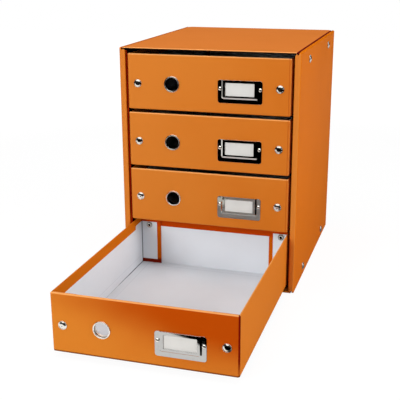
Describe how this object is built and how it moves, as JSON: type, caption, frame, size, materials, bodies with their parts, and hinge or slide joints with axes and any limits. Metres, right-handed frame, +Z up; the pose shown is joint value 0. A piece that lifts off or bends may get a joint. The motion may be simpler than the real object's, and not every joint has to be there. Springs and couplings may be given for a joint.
{
  "type": "drawer cabinet",
  "caption": "Desktop cabinet of folded laminated board with pull-out drawers, each with a finger ring, snap fasteners and a metal label holder with a removable card.",
  "frame": {"origin": "middle of the cabinet's footprint, on the surface it stands on, with the drawers closed or not", "axes": "+X to the right along the front, +Y from the front to the back, +Z up"},
  "size_m": [0.2452, 0.5438, 0.32],
  "materials": {
    "cover_board": "orange leather-smooth covering paper on grey board, satin",
    "inner_board": "near-black matte paper on grey board, inside the cabinet",
    "lining_paper": "matte off-white lining paper",
    "chromed_steel": "bright plated pressed steel",
    "card": "matte white card"
  },
  "bodies": {
    "cabinet": {"cabinet_side_left": "cover_board", "cabinet_side_right": "cover_board", "cabinet_top": "cover_board", "cabinet_bottom": "cover_board", "cabinet_back": "inner_board", "shelf_1": "inner_board", "shelf_2": "inner_board", "shelf_3": "inner_board", "shelf_4": "inner_board", "side_snap_caps": "chromed_steel", "side_snap_sockets": "chromed_steel"},
    "drawer_1": {"drawer_1_tray": "cover_board", "drawer_1_lining": "lining_paper", "drawer_1_finger_ring": "chromed_steel", "drawer_1_ring_washer": "chromed_steel", "drawer_1_snap_caps": "chromed_steel", "drawer_1_snap_sockets": "chromed_steel", "drawer_1_label_holder": "chromed_steel", "drawer_1_label_rivets": "chromed_steel"},
    "card_1": {"drawer_1_label_card": "card"},
    "drawer_2": {"drawer_2_tray": "cover_board", "drawer_2_lining": "lining_paper", "drawer_2_finger_ring": "chromed_steel", "drawer_2_ring_washer": "chromed_steel", "drawer_2_snap_caps": "chromed_steel", "drawer_2_snap_sockets": "chromed_steel", "drawer_2_label_holder": "chromed_steel", "drawer_2_label_rivets": "chromed_steel"},
    "card_2": {"drawer_2_label_card": "card"},
    "drawer_3": {"drawer_3_tray": "cover_board", "drawer_3_lining": "lining_paper", "drawer_3_finger_ring": "chromed_steel", "drawer_3_ring_washer": "chromed_steel", "drawer_3_snap_caps": "chromed_steel", "drawer_3_snap_sockets": "chromed_steel", "drawer_3_label_holder": "chromed_steel", "drawer_3_label_rivets": "chromed_steel"},
    "card_3": {"drawer_3_label_card": "card"},
    "drawer_4": {"drawer_4_tray": "cover_board", "drawer_4_lining": "lining_paper", "drawer_4_finger_ring": "chromed_steel", "drawer_4_ring_washer": "chromed_steel", "drawer_4_snap_caps": "chromed_steel", "drawer_4_snap_sockets": "chromed_steel", "drawer_4_label_holder": "chromed_steel", "drawer_4_label_rivets": "chromed_steel"},
    "card_4": {"drawer_4_label_card": "card"}
  },
  "joints": [
    {"name": "drawer_1_slide", "type": "slide", "parent": "cabinet", "child": "drawer_1", "axis": [0, -1, 0], "range_m": [0, 0.272]},
    {"name": "drawer_2_slide", "type": "slide", "parent": "cabinet", "child": "drawer_2", "axis": [0, -1, 0], "range_m": [0, 0.272]},
    {"name": "drawer_3_slide", "type": "slide", "parent": "cabinet", "child": "drawer_3", "axis": [0, -1, 0], "range_m": [0, 0.272]},
    {"name": "drawer_4_slide", "type": "slide", "parent": "cabinet", "child": "drawer_4", "axis": [0, -1, 0], "range_m": [-0.2496, 0.0224]},
    {"name": "card_1_lift", "type": "slide", "parent": "drawer_1", "child": "card_1", "axis": [0, 0, 1], "range_m": [0, 0.0225]},
    {"name": "card_2_lift", "type": "slide", "parent": "drawer_2", "child": "card_2", "axis": [0, 0, 1], "range_m": [0, 0.0225]},
    {"name": "card_3_lift", "type": "slide", "parent": "drawer_3", "child": "card_3", "axis": [0, 0, 1], "range_m": [0, 0.0225]},
    {"name": "card_4_lift", "type": "slide", "parent": "drawer_4", "child": "card_4", "axis": [0, 0, 1], "range_m": [0, 0.0225]}
  ]
}
